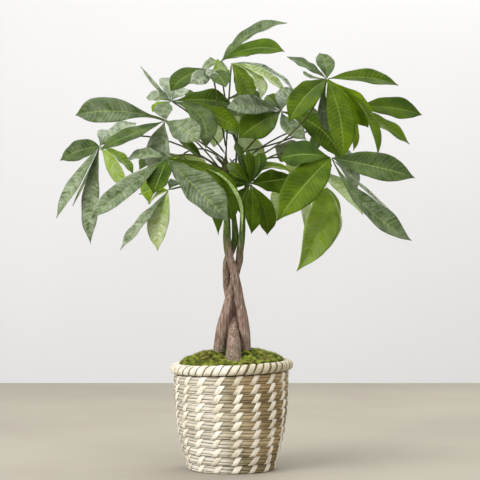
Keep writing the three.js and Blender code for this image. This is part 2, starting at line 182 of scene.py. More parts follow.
bpy.ops.mesh.primitive_torus_add(
    major_radius=1, minor_radius=0.1, major_segments=ROW_STEPS, minor_segments=SECTION_STEPS,
)
ring = bpy.context.object
ring_points = read_points(ring.data)
ring_uvs = read_uvs(ring.data)
ring_turn = np.arctan2(ring_points[:, 1], ring_points[:, 0])
around = np.arctan2(ring_points[:, 2], np.hypot(ring_points[:, 0], ring_points[:, 1]) - 1)
# Nearly two thirds of the section's points lie on the outer side, which is the side that shows.
section = around - 0.45 * np.sin(around)


def strand_height(row):
    """The blades of a bundle side by side, 1 on top of each and 0 in the furrows between them."""
    return np.abs(np.sin((GRASS_BLADES * section + GRASS_TWIST * ring_turn) / 2 + 1.3 * row))


def furrows(row):
    """How deep a point lies, 1 in the furrows between blades and in the crease between rows, where the grass
    is darkened with painted shade.
    """
    crease = np.clip((np.abs(section) - CREASE_FROM) / CREASE_WIDTH, 0, 1)
    return np.maximum(1 - strand_height(row), crease)


def bundle(row, radius, height, depth, rise, roundness):
    """One ring of seagrass: radius and height of its middle, depth across and rise from top to bottom."""
    across = np.sign(np.cos(section)) * np.abs(np.cos(section)) ** roundness
    upward = np.sign(np.sin(section)) * np.abs(np.sin(section)) ** 0.8
    strands = strand_height(row)
    place = np.stack([np.cos(ring_turn), np.sin(ring_turn), np.full(len(section), 0.9 * row)], axis=1)
    slack = wobble(place * [1, 1, 0.3] + [0, 0, 0.2], 0.16, row)
    lump = wobble(place + 0.15 * np.stack([across, upward, across], axis=1), 0.07, row + 40)
    swell = GRASS_RELIEF * (strands ** 0.6 - 0.7) + GRASS_SLACK * slack + GRASS_LUMPS * lump
    reach = radius + across * (depth / 2 + swell)
    level = height + upward * (rise / 2 + 0.3 * swell) + ROW_WAVER * slack
    return placed(reach, ring_turn, level)


coils = []
for row in range(ROWS):
    height = (row + 0.5) * ROW_HEIGHT
    shape = bundle(row, row_centre(row), height, BUNDLE_DEPTH, BUNDLE_HEIGHT, ROW_ROUNDNESS)
    shape[:, 2] = np.maximum(shape[:, 2], TABLE_GAP)
    coils.append(shaped_copy(ring, tilted(shape), ring_uvs + [0.37 * row, row], {"furrow": furrows(row)}))
for number in range(FLOOR_RINGS):
    row = FLOOR_ROW + number
    radius = (number + 0.5) * (BASE_RADIUS - BUNDLE_DEPTH) / FLOOR_RINGS
    width = (BASE_RADIUS - BUNDLE_DEPTH) / FLOOR_RINGS * FLOOR_OVERLAP
    rise = FLOOR_THICKNESS - 2 * TABLE_GAP
    shape = bundle(row, radius, FLOOR_THICKNESS / 2, width, rise, FLOOR_ROUNDNESS)
    shape[:, 2] = np.maximum(shape[:, 2], TABLE_GAP)
    coils.append(shaped_copy(ring, shape, ring_uvs + [0.23 * number, row], {"furrow": furrows(row)}))
rim_shape = bundle(RIM_ROW, RIM_RADIUS, RIM_HEIGHT, 2 * RIM_CORE, 2 * RIM_CORE, RIM_ROUNDNESS)
coils.append(shaped_copy(ring, tilted(rim_shape), ring_uvs + [0.5, RIM_ROW], {"furrow": RIM_BUNDLE_SHADE}))
basket = joined(coils, "basket_seagrass_rows", [ring])


def paint(red, green, blue):
    """A colour as seen on screen, 0 to 255, as the shader's linear values."""
    seen = (red, green, blue)
    return tuple(((c / 255 + 0.055) / 1.055) ** 2.4 if c > 10 else c / 3294.6 for c in seen) + (1,)


def finish(name, roughness, **sockets):
    """A material, its nodes, its shader with what is the same all over, and a point's place on the piece."""
    material = bpy.data.materials.new(name)
    material.use_nodes = True
    shader = material.node_tree.nodes["Principled BSDF"]
    shader.inputs["Roughness"].default_value = roughness
    for socket, value in sockets.items():
        shader.inputs[socket.replace("_", " ")].default_value = value
    place = material.node_tree.nodes.new("ShaderNodeTexCoord").outputs["Object"]
    return material, material.node_tree, shader, place


def node(tree, kind, inputs=(), **settings):
    """Adds a node, sets its options and fills its inputs with values or with other nodes' outputs."""
    made = tree.nodes.new("ShaderNode" + kind)
    for setting, value in settings.items():
        setattr(made, setting, value)
    for key, value in dict(inputs).items():
        if isinstance(value, bpy.types.NodeSocket):
            tree.links.new(value, made.inputs[key])
        elif value is not None:
            made.inputs[key].default_value = value
    return made


def ramp(tree, factor, stops, smooth="LINEAR"):
    """A colour ramp over factor: stops are (place, colour) pairs, and a single number means a grey."""
    made = node(tree, "ValToRGB", {"Fac": factor})
    made.color_ramp.interpolation = smooth
    elements = made.color_ramp.elements
    while len(elements) < len(stops):
        elements.new(0.5)
    for element, (place, colour) in zip(elements, stops):
        element.position = place
        element.color = colour if isinstance(colour, tuple) else (colour, colour, colour, 1)
    return made.outputs["Color"]


def fade(tree, value, start, end, first=0.0, last=1.0):
    """Runs from first to last while value runs from start to end."""
    return node(tree, "MapRange", {0: value, 1: start, 2: end, 3: first, 4: last}).outputs[0]


def marked(tree, label):
    return node(tree, "Attribute", attribute_name=label).outputs["Fac"]


def blend(tree, factor, first, second, how="MIX"):
    made = node(tree, "Mix", {0: factor, 6: first, 7: second}, data_type="RGBA", blend_type=how)
    return made.outputs[2]


def sums(tree, how, first, second=None):
    return node(tree, "Math", {0: first, 1: second}, operation=how).outputs[0]


def cloud(tree, vector, scale, detail, rough):
    """Soft noise over vector, finer as scale grows."""
    inputs = {"Vector": vector, "Scale": scale, "Detail": detail, "Roughness": rough}
    return node(tree, "TexNoise", inputs).outputs[0]


def stretched(tree, vector, scale):
    return node(tree, "Mapping", {"Vector": vector, "Scale": scale}).outputs[0]


def surface(tree, shader, colour, height=None, strength=0, distance=0):
    """Gives a shader its colour, and its relief where there is a height."""
    tree.links.new(colour, shader.inputs["Base Color"])
    if height is not None:
        bump = node(tree, "Bump", {"Height": height, "Strength": strength, "Distance": distance})
        tree.links.new(bump.outputs[0], shader.inputs["Normal"])


STRAW = paint(230, 226, 214)
TAN = paint(182, 168, 142)
OLIVE = paint(120, 118, 72)
BROWN = paint(112, 86, 64)
PAINTED_CREASE_SHADE = paint(50, 40, 30)
# Painted light and shade: the grass is lightened to the left, towards the window, and darkened to olive and
# then brown towards the right, away from it, and a little upwards. Each stop is a share of the way across
# and the tint that the colour is multiplied by.
SHADE_DEEPENS_TOWARDS = (10, 0, 1.5)
PAINTED_SIDE_SHADE = [(0.08, 1.0), (0.24, paint(219, 213, 191)), (0.42, paint(221, 212, 188)),
           (0.62, paint(223, 204, 174)), (0.9, paint(213, 190, 149))]
PAINTED_SIDE_LIGHT = paint(216, 212, 200)

grass, tree, shader, place = finish("dried_seagrass", 0.72, Specular_IOR_Level=0.3)
# The UV map runs along the bundle and round it.
along = node(tree, "TexCoord").outputs["UV"]
streaks = cloud(tree, stretched(tree, along, (16, 11, 1)), 1.6, 5, 0.65)
fine = cloud(tree, stretched(tree, along, (40, 46, 1)), 2.2, 4, 0.7)
patches = cloud(tree, stretched(tree, place, (14, 14, 34)), 1, 3, 0.5)
tone = ramp(tree, streaks, [(0.3, BROWN), (0.42, TAN), (0.52, STRAW), (0.64, OLIVE), (0.76, TAN)])
dry = ramp(tree, patches, [(0.36, STRAW), (0.5, TAN), (0.58, OLIVE), (0.68, BROWN)])
colour = blend(tree, 0.6, tone, dry)
colour = blend(tree, 0.5, colour, ramp(tree, fine, [(0.3, 0.35), (0.5, 0.9), (0.7, 1.0)]), "MULTIPLY")
# Painted light and shade across the basket: darker to the right and upwards, and lightened on the left,
# towards the window.
sideways = node(tree, "VectorMath", {0: place, 1: SHADE_DEEPENS_TOWARDS}, operation="DOT_PRODUCT").outputs["Value"]
across = sums(tree, "ADD", sideways, 0.2)
colour = blend(tree, 1.0, colour, ramp(tree, across, PAINTED_SIDE_SHADE), "MULTIPLY")
colour = blend(tree, fade(tree, across, 0.12, 0.4, 0.4, 0.0), colour, PAINTED_SIDE_LIGHT)
# Painted shade: the grass is darkened towards a dark brown in the furrows between blades and in the creases
# between rows.
colour = blend(tree, ramp(tree, marked(tree, "furrow"), [(0.5, 0.0), (0.85, 0.85)]), colour, PAINTED_CREASE_SHADE)
surface(tree, shader, colour, fine, 0.6, 0.0006)
coat(basket, grass)
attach(basket, "root")
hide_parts("basket_coil")


# Stitches. A flat strip of split palm leaf ties each row to the one below, wound over it at a lean.
# The stitches stand in columns about 24 mm apart, so fewer columns go round the basket's narrower foot.
STITCH_WIDTH = 0.0081
STITCH_LEAN = 0.0085
STITCH_LIFT = 0.0012
STRIP_THICKNESS = 0.0006
# A stitch is domed across, laps over the stitches above and below it, and follows part of the row's bulge.
STITCH_CROWN = 0.0004
STITCH_OVERLAP = 1.05
STITCH_BULGE = 0.77
# In degrees round the basket: from one column to the next, and where the middle one stands.
COLUMN_STEP_TOP = 18
COLUMN_STEP_BASE = 24
MIDDLE_COLUMN = -84


def flat_master(columns, rows):
    """A flat grid with a thickness: X and Y run from -1 to 1 over it, and Z from -0.5 to 0.5 through it."""
    bpy.ops.mesh.primitive_grid_add(x_subdivisions=columns, y_subdivisions=rows, size=2)
    flat = bpy.context.object
    thick = flat.modifiers.new("thickness", "SOLIDIFY")
    thick.thickness = 1
    thick.offset = 0
    bpy.ops.object.modifier_apply(modifier=thick.name)
    return flat


def column_step(height):
    """Degrees between two columns at a height that is counted in rows."""
    return COLUMN_STEP_BASE + (COLUMN_STEP_TOP - COLUMN_STEP_BASE) * height / ROWS


strip = flat_master(3, 5)
strip_x, strip_y, strip_z = read_points(strip.data).T
strip_uvs = read_uvs(strip.data)
draws = random.Random(11)
stitches = []
for row in range(ROWS):
    most = int(180 / column_step(row) - 0.5)
    for column in range(-most, most + 1):
        lean = STITCH_LEAN * draws.uniform(0.8, 1.2)
        width = STITCH_WIDTH * draws.uniform(0.85, 1.12)
        level = (row + (strip_y * STITCH_OVERLAP + 1) / 2) * ROW_HEIGHT
        grass_side = row_centre(row) + BUNDLE_DEPTH / 2 * bulge(strip_y * STITCH_BULGE)
        lift = STITCH_LIFT * (1 - np.abs(strip_y) ** 8) - STITCH_CROWN * strip_x ** 2
        reach = grass_side + lift + STRIP_THICKNESS * strip_z
        turn = np.radians(MIDDLE_COLUMN + column * column_step(row + 0.5) + draws.uniform(-1, 1))
        bearing = turn + (strip_x * width / 2 + strip_y * lean / 2) / reach
        points = placed(reach, bearing, np.maximum(level, 2 * TABLE_GAP))
        uvs = strip_uvs * [0.5, 1] + [draws.uniform(0, 40), draws.uniform(0, 40)]
        stitches.append(shaped_copy(strip, tilted(points), uvs))


# Rim wrap. The same palm strip is wound closely round the topmost bundle, leaning right as it rises.
# Each turn passes through the row below, and the bundle, darkened with painted shade, shows in the gaps
# between the turns.
RIM_STRIPS = 45
RIM_WRAP = 0.0071
RIM_LEAN = 0.012
# A turn is domed across, and its ends are tucked in.
RIM_CROWN = 0.00025
RIM_TUCK = 0.0014
# Round the bundle from its outermost point: the middle of a turn, and how far it reaches to each side.
WRAP_MIDDLE = math.radians(85)
WRAP_REACH = math.radians(155)
# How much of its pitch a turn covers, at least and at most, and how much less that is to the right.
RIM_COVER = (0.67, 0.83)
RIM_NARROWER = 0.07
# Painted shade: the strip is greyer and darker to the right, away from the window: where that starts, and
# how far on it is full.
RIM_SHADE_FROM = -0.012
RIM_SHADE_WIDTH = 0.05

band = flat_master(3, 14)
band_x, band_y, band_z = read_points(band.data).T
band_uvs = read_uvs(band.data)
pitch = 2 * math.pi * (RIM_RADIUS + RIM_WRAP) / RIM_STRIPS
angle = WRAP_MIDDLE + band_y * WRAP_REACH
for number in range(RIM_STRIPS):
    cover = draws.uniform(*RIM_COVER)
    turn = 2 * math.pi * (number + draws.uniform(-0.07, 0.07)) / RIM_STRIPS
    width = pitch * (cover - RIM_NARROWER * math.cos(turn))
    swell = RIM_WRAP + RIM_CROWN * (1 - band_x ** 2) + draws.uniform(-0.0002, 0.0003)
    away = swell + STRIP_THICKNESS * band_z - RIM_TUCK * np.abs(band_y) ** 9
    reach = RIM_RADIUS + away * np.cos(angle)
    climb = RIM_LEAN * draws.uniform(0.8, 1.15) * angle / math.pi
    bearing = turn + (band_x * width / 2 + climb) / (RIM_RADIUS + RIM_WRAP)
    points = placed(reach, bearing, RIM_HEIGHT + away * np.sin(angle))
    uvs = band_uvs * [0.5, 3] + [draws.uniform(0, 40), draws.uniform(0, 40)]
    rim_shade = np.clip((points[:, 0] - RIM_SHADE_FROM) / RIM_SHADE_WIDTH, 0, 1)
    stitches.append(shaped_copy(band, tilted(points), uvs, {"rim_shade": rim_shade}))
stitching = joined(stitches, "basket_palm_strips", [strip, band])
stitching.select_set(True)
bpy.ops.object.shade_smooth_by_angle(angle=math.radians(50))
stitching.select_set(False)

CREAM = paint(236, 230, 214)
IVORY = paint(214, 206, 188)
FIBRE = paint(154, 136, 106)
PAINTED_RIM_SHADE = paint(203, 198, 176)

palm, tree, shader, place = finish("split_palm_strip", 0.5, Specular_IOR_Level=0.4)
fibres = cloud(tree, stretched(tree, node(tree, "TexCoord").outputs["UV"], (14, 1.2, 1)), 2, 4, 0.6)
stains = cloud(tree, place, 60, 3, 0.5)
colour = ramp(tree, fibres, [(0.3, FIBRE), (0.45, IVORY), (0.6, CREAM)])
colour = blend(tree, 0.4, colour, ramp(tree, stains, [(0.35, FIBRE), (0.5, IVORY), (0.62, CREAM)]))
# Painted shade darkens the strips towards the right.
rim_shade = sums(tree, "MULTIPLY", marked(tree, "rim_shade"), 0.85)
colour = blend(tree, rim_shade, colour, PAINTED_RIM_SHADE, "MULTIPLY")
surface(tree, shader, colour, fibres, 0.5, 0.0004)
coat(stitching, palm)
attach(stitching, "root")
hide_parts("basket_stitching")


# Grower pot and soil. A plain black nursery pot stands on the basket's floor, full of potting soil.
# Both keep their modelled shape: the moss hides them, and they only need their own finish.
POT_BLACK = paint(26, 26, 28)
POT_SCUFF = paint(48, 47, 46)
DAMP_SOIL = paint(38, 27, 19)
SOIL_BROWN = paint(74, 54, 38)
DRY_SOIL = paint(112, 88, 62)

pot_plastic, tree, shader, place = finish("nursery_pot_plastic", 0.55)
scuffs = cloud(tree, place, 120, 4, 0.6)
colour = ramp(tree, scuffs, [(0.4, POT_BLACK), (0.7, POT_SCUFF)])
surface(tree, shader, colour, scuffs, 0.15, 0.0004)
coat(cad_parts["grower_pot"], pot_plastic)

potting_soil, tree, shader, place = finish("potting_soil", 0.95)
crumbs = cloud(tree, place, 260, 5, 0.7)
colour = ramp(tree, crumbs, [(0.35, DAMP_SOIL), (0.55, SOIL_BROWN), (0.7, DRY_SOIL)])
surface(tree, shader, colour, crumbs, 0.8, 0.002)
coat(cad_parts["soil"], potting_soil)


# Moss. A sheet of green cushion moss is pressed over the soil up to the rim, lumpy and full of short shoots.
# It lies lower in front, where the foot of the front stem shows.
MOSS_TOP = 0.1585
MOSS_FOOT = 0.1203
MOSS_DIP = 0.012
# Radius and height along its outline, from the middle of the top out to the edge and back underneath.
MOSS_OUTLINE = [(0, MOSS_TOP), (0.016, MOSS_TOP), (0.038, 0.157), (0.058, 0.151), (0.0697, 0.1446),
                (0.0665, 0.138), (0.066, 0.129), (0.06, 0.124), (0.03, MOSS_FOOT), (0, MOSS_FOOT)]
# Which of the mesh's rings lies at each of these points.
MOSS_RINGS_AT = [0, 12, 34, 56, 72, 77, 80, 83, 87, 90]
MOSS_RINGS = MOSS_RINGS_AT[-1]
MOSS_SEGMENTS = 180
# Lumps and tufts grow in over this height, from the edge that the rim hides.
MOSS_SHOWS_FROM = 0.138
MOSS_SHOWS_OVER = 0.008
LUMP_SIZE = 0.014
LUMP_HEIGHT = 0.002
TUFT_SIZE = 0.0058
TUFT_HEIGHT = 0.0022
SHOOTS = 5200
SHOOTS_RADIUS = 0.0685
SHOOT_LENGTH = 0.0042
SHOOT_FOOT = 0.00055
SHOOT_TIP = 0.00012
moss_radii, moss_heights = zip(*MOSS_OUTLINE)
moss_radius = max(moss_radii)


def moss_tufts(points):
    """Close cushions of shoots, 1 on their tops and -1 in the gaps between them."""
    return wobble(points * [1, 1, 0], TUFT_SIZE, 4)


def moss_surface(points):
    """Dips the moss to the front, and raises it in lumps and tufts where it shows."""
    reach = np.hypot(points[:, 0], points[:, 1])
    shown = np.clip((points[:, 2] - MOSS_SHOWS_FROM) / MOSS_SHOWS_OVER, 0, 1)
    front = np.maximum(0, -points[:, 1] / np.maximum(reach, 0.001))
    dip = MOSS_DIP * np.sin(math.pi * np.minimum(1, reach / moss_radius)) * front
    lumps = wobble(points * [1, 1, 0], LUMP_SIZE, 3)
    points[:, 2] += shown * (LUMP_HEIGHT * lumps + TUFT_HEIGHT * moss_tufts(points) - dip)
    return points


bpy.ops.mesh.primitive_uv_sphere_add(segments=MOSS_SEGMENTS, ring_count=MOSS_RINGS, radius=1)
moss_bed = bpy.context.object
moss_bed.name = "moss_bed"
ball = read_points(moss_bed.data)
polar = np.arccos(np.clip(ball[:, 2], -1, 1)) / math.pi * MOSS_RINGS
turn = np.arctan2(ball[:, 1], ball[:, 0])
reach = np.interp(polar, MOSS_RINGS_AT, moss_radii)
level = np.interp(polar, MOSS_RINGS_AT, moss_heights)
moss_points = placed(reach, turn, level)
tuft_mark = moss_bed.data.attributes.new("tuft", "FLOAT", "POINT")
tuft_mark.data.foreach_set("value", moss_tufts(moss_points) / 2 + 0.5)
write_points(moss_bed.data, moss_surface(tilted(moss_points)))
bpy.ops.object.shade_smooth()

bpy.ops.object.select_all(action="DESELECT")
bpy.ops.mesh.primitive_cone_add(vertices=3, radius1=SHOOT_FOOT, radius2=SHOOT_TIP, depth=SHOOT_LENGTH)
shoot = bpy.context.object
shoot_points = read_points(shoot.data)
draws = random.Random(5)
shoots = []
for number in range(SHOOTS):
    distance = SHOOTS_RADIUS * math.sqrt(draws.random())
    turn = draws.uniform(0, 2 * math.pi)
    # The outline's second to fifth points are the moss's upper side.
    height = np.interp(distance, moss_radii[1:5], moss_heights[1:5])
    place = np.array([[distance * math.cos(turn), distance * math.sin(turn), height]])
    place = moss_surface(tilted(place))[0]
    lean = Vector((draws.gauss(0, 0.7) + 6 * place[0], draws.gauss(0, 0.7) + 6 * place[1], 1)).normalized()
    turned = Vector((0, 0, 1)).rotation_difference(lean).to_matrix()
    size = draws.uniform(0.5, 1.25)
    points = shoot_points * size @ np.array(turned).T + place
    # A shoot is painted lighter on the top of a tuft and darker in the gaps between tufts, as painted light
    # and shade, and varies a little at random.
    tone = 0.35 * draws.random() + 0.65 * (moss_tufts(place[None]) * 0.8 + 0.5)
    shoots.append(shaped_copy(shoot, points, marks={"tone": np.clip(tone, 0, 1)}))
moss_shoots = joined(shoots, "moss_shoots", [shoot])

# Painted shade between the tufts and painted light on their tops, in the greens of living moss and the
# browns of old moss.
TUFT_GREENS = [(0.36, paint(20, 24, 5)), (0.5, paint(72, 84, 16)), (0.64, paint(138, 148, 48))]
TUFT_BROWNS = [(0.36, paint(26, 22, 8)), (0.52, paint(84, 76, 26)), (0.66, paint(132, 126, 58))]
SHOOT_GREENS = [(0.1, paint(26, 32, 5)), (0.5, paint(90, 104, 20)), (0.95, paint(170, 180, 74))]
SHOOT_BROWNS = [(0.1, paint(32, 28, 10)), (0.5, paint(100, 92, 34)), (0.95, paint(160, 152, 78))]


def mossy(tree, place, factor, greens, browns):
    """Moss by factor, green with patches of brown."""
    browned = ramp(tree, cloud(tree, place, 42, 3, 0.6), [(0.48, 0.0), (0.64, 1.0)])
    return blend(tree, browned, ramp(tree, factor, greens), ramp(tree, factor, browns))


moss_green, tree, shader, place = finish("cushion_moss", 0.9, Specular_IOR_Level=0.2)
grain = cloud(tree, place, 300, 4, 0.65)
cushions = sums(tree, "MULTIPLY", marked(tree, "tuft"), 0.6)
tufts = sums(tree, "ADD", sums(tree, "MULTIPLY", grain, 0.4), cushions)
surface(tree, shader, mossy(tree, place, tufts, TUFT_GREENS, TUFT_BROWNS), tufts, 0.9, 0.002)

shoot_green, tree, shader, place = finish("moss_shoot", 0.75, Specular_IOR_Level=0.25)
surface(tree, shader, mossy(tree, place, marked(tree, "tone"), SHOOT_GREENS, SHOOT_BROWNS))
for piece, material in ((moss_bed, moss_green), (moss_shoots, shoot_green)):
    coat(piece, material)
    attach(piece, "root")
    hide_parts("moss")


# Stems. Three young trunks are plaited while they are soft: brown corky bark below, green young wood above.
# They stand in the soil. Each row is a point of a stem's centre line and its half thickness there, from the
# foot upwards.
STEMS = {
    "stem_right": (
        (22, 8, 90, 7.5), (20.5, 7, 125, 8.4), (18.4, 5, 156, 8.4), (17.2, 3, 185, 7.6),
        (14.6, 0, 205, 6.8), (10.8, -4, 225, 6.2), (9, -6, 239, 5.8), (5.9, -8, 252, 5.6),
        (3, -8, 266, 5.6), (-1.3, -7.5, 279, 5.5), (-4.5, -7, 292, 5.4), (-6, -6, 306, 5.3),
        (-6, -4, 319, 5), (-6, -3, 335, 4.4), (-7, -3, 357, 3.8), (-7.5, -3.5, 372, 3.2),
        (-8, -4, 388, 4.4), (-8, -4, 398, 5.8), (-8, -4, 408, 4.4), (-7.5, -4, 418, 1.5),
        (-6.5, -4, 441, 0.9),
    ),
    "stem_left": (
        (-21, 10, 90, 7.5), (-18, 8, 125, 9), (-15.8, 6, 156, 8.9), (-12.7, 3, 185, 8.2),
        (-8, 0, 206, 6.8), (-3.3, 1, 225, 6.1), (0.3, 4.5, 239, 5.6), (3.5, 5.5, 252, 5.3),
        (7, 4, 266, 5.1), (10.5, 2.5, 279, 5), (11.4, 0.5, 292, 4.8), (13.4, -2, 306, 4.5),
        (14.5, -2, 319, 4.2), (15, -2, 333, 3.7), (15.5, -2, 350, 3.4), (19, -2, 372, 2.8),
        (23, -2, 396, 3.4), (25, -1, 424, 0.9),
    ),
    "stem_front": (
        (5, -30, 90, 8), (4, -27, 125, 10.3), (3, -22, 147, 10.4), (3, -9.5, 172, 8.8), (2.4, 1, 185, 7.2),
        (2, 10, 198, 7.2), (0.8, 15, 212, 7.4), (-1.5, 15.5, 225, 6.6), (-5.5, 14.5, 239, 5.3),
        (-6.4, 11.5, 252, 5.2), (-6.7, 6.5, 266, 5.2), (-5.5, 5, 279, 5.1), (0, 5.5, 292, 5),
        (4.5, 5.5, 306, 4.8), (4.7, 4.5, 319, 4.3), (3.5, 4.5, 333, 3.4), (2.5, 5, 346, 3.2),
        (3, 8, 372, 2.4), (6, 10, 410, 1.5), (8, 10, 450, 0.9),
    ),
}
STEM_SIDES = 32
STEM_RINGS = 200


def smooth_path(rows, steps):
    """A curve through the rows, every column alike, as evenly spaced points."""
    knots = np.concatenate([[2 * rows[0] - rows[1]], rows, [2 * rows[-1] - rows[-2]]])
    dense = []
    for before, start, end, after in zip(knots, knots[1:], knots[2:], knots[3:]):
        for share in np.linspace(0, 1, 12, endpoint=False):
            cubic = (2 * start + (end - before) * share
                     + (2 * before - 5 * start + 4 * end - after) * share ** 2
                     + (3 * start - before - 3 * end + after) * share ** 3) / 2
            dense.append(cubic)
    dense = np.array(dense + [rows[-1]])
    gone = np.concatenate([[0], np.cumsum(np.linalg.norm(np.diff(dense[:, :3], axis=0), axis=1))])
    wanted = np.linspace(0, gone[-1], steps + 1)
    return np.stack([np.interp(wanted, gone, column) for column in dense.T], axis=1)


def unit(vector):
    return vector / max(np.linalg.norm(vector), 1e-9)


def drawn_out(sphere, path, radii, swelling=None, marks=None):
    """A copy of a sphere, drawn out along a path with one of its rings at each point of the path."""
    ball_points = read_points(sphere.data)
    rings = len(path) - 1
    along = np.gradient(path, axis=0)
    sides = []
    side = np.cross(along[0], [0.31, 0.9, 0.2])
    for direction in along:
        direction = unit(direction)
        side = unit(side - direction * np.dot(side, direction))
        sides.append([side, np.cross(side, direction)])
    sides = np.array(sides)
    ring = np.rint(np.arccos(np.clip(ball_points[:, 2], -1, 1)) / math.pi * rings).astype(int)
    turn = np.arctan2(ball_points[:, 1], ball_points[:, 0])
    radius = radii[ring] * ((ring > 0) & (ring < rings))
    if swelling is not None:
        radius = radius * (1 + swelling(ring / rings, turn))
    out = sides[ring, 0] * np.cos(turn)[:, None] + sides[ring, 1] * np.sin(turn)[:, None]
    return shaped_copy(sphere, path[ring] + out * radius[:, None], marks=marks)


def bark_swelling(seed):
    def swelling(share, turn):
        """Long shallow furrows, corky lumps near the foot and leaf scars on the green wood above."""
        spot = np.stack([np.cos(turn), np.sin(turn), share * 7], axis=1)
        grooves = wobble(spot, 0.42, seed)
        lumps = wobble(spot * [1, 1, 3], 0.7, seed + 9)
        cork = np.clip(1.25 - share * 3.4, 0, 1)
        scars = np.clip((share - 0.62) * 6, 0, 1) * np.maximum(0, np.sin(share * 130)) ** 12
        return 0.05 * grooves * (1 - 0.5 * share) + (0.03 + 0.06 * cork) * lumps + 0.1 * scars
    return swelling


bpy.ops.mesh.primitive_uv_sphere_add(segments=STEM_SIDES, ring_count=STEM_RINGS, radius=1)
rod = bpy.context.object
stems = []
for seed, (name, rows) in enumerate(STEMS.items()):
    path = smooth_path(np.array(rows) / 1000, STEM_RINGS)
    stem = drawn_out(rod, path[:, :3], path[:, 3], bark_swelling(seed))
    stem.name = name + "_bark"
    stem.data.polygons.foreach_set("use_smooth", [True] * len(stem.data.polygons))
    stems.append(stem)
bpy.data.objects.remove(rod)

# Dry stubs stand where old leaf stalks have dropped. A row holds a stub's foot, how far its end lies from
# there along X, Y and Z, and its half thickness.
STUBS = (
    (-10, -5, 400, -21, -6, 7, 1.8), (-9, -6, 405, -13, -6, 12, 1.5), (-7, -4, 398, 15, -6, 10, 1.8),
    (-8, -2, 406, -5, 4, 13, 1.4), (-10.5, -4, 393, -17, -4, 0, 1.8), (-6, -6, 404, 12, -5, 11, 1.6),
    (23, -3, 392, -12, -6, 9, 1.2), (24, -3, 400, 9, -6, 11, 1.1), (6, 9, 404, -9, -8, 12, 1.2),
    (8, 9, 420, 9, -6, 11, 1),
)
STUB_RINGS = 8

bpy.ops.mesh.primitive_uv_sphere_add(segments=10, ring_count=STUB_RINGS, radius=1)
peg = bpy.context.object
pegs = []
for row in np.array(STUBS) / 1000:
    path = row[:3] + np.linspace(-0.1, 1, STUB_RINGS + 1)[:, None] * row[3:6]
    pegs.append(drawn_out(peg, path, row[6] * np.linspace(1.4, 0.5, STUB_RINGS + 1)))
stubs = joined(pegs, "stalk_stubs", [peg])

BARK_BROWNS = [(0.3, paint(84, 60, 50)), (0.5, paint(132, 108, 96)), (0.66, paint(178, 158, 146))]
BARK_GREYS = [(0.4, paint(66, 58, 40)), (0.55, paint(112, 104, 82)), (0.64, paint(182, 178, 158))]
WOOD_GREENS = [(0.3, paint(44, 60, 26)), (0.5, paint(84, 104, 50)), (0.7, paint(128, 140, 86))]
CROWN_BROWNS = [(0.3, paint(48, 40, 26)), (0.7, paint(96, 88, 54))]
GREEN_FROM = 0.292

bark, tree, shader, place = finish("stem_bark", 0.8, Specular_IOR_Level=0.25)
lengthwise = cloud(tree, stretched(tree, place, (420, 420, 60)), 1, 5, 0.65)
specks = cloud(tree, place, 420, 3, 0.7)
patches = cloud(tree, stretched(tree, place, (60, 60, 28)), 1, 3, 0.5)
height = node(tree, "SeparateXYZ", {0: place}).outputs[2]
# Old cork greys the foot, and the wood from the middle of the plait upwards, both in patches.
grey = sums(tree, "ADD", fade(tree, height, 0.146, 0.2, 0.75, 0.0), fade(tree, height, 0.2, 0.26, 0.0, 0.45))
greyness = sums(tree, "MULTIPLY", grey, ramp(tree, patches, [(0.4, 0.35), (0.6, 1.0)]))
wood = blend(tree, greyness, ramp(tree, lengthwise, BARK_BROWNS), ramp(tree, specks, BARK_GREYS))
edge = sums(tree, "ADD", height, sums(tree, "MULTIPLY", sums(tree, "SUBTRACT", patches, 0.5), 0.05))
young = fade(tree, edge, GREEN_FROM - 0.012, GREEN_FROM + 0.02)
colour = blend(tree, young, wood, ramp(tree, lengthwise, WOOD_GREENS))
crown = fade(tree, height, 0.365, 0.395, 0.0, 0.75)
colour = blend(tree, crown, colour, ramp(tree, lengthwise, CROWN_BROWNS))
surface(tree, shader, colour, lengthwise, 0.35, 0.001)
for stem in stems:
    coat(stem, bark)
    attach(stem, "root")
    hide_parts(stem.name.removesuffix("_bark"))
coat(stubs, bark)
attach(stubs, "root")
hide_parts(*STEMS)


# Leaves. A slender stalk leaves its stem, bends under its load and ends in a joint, where glossy leaflets
# spread like fingers. Each is thin, folded along its midrib and quilted between its side veins.

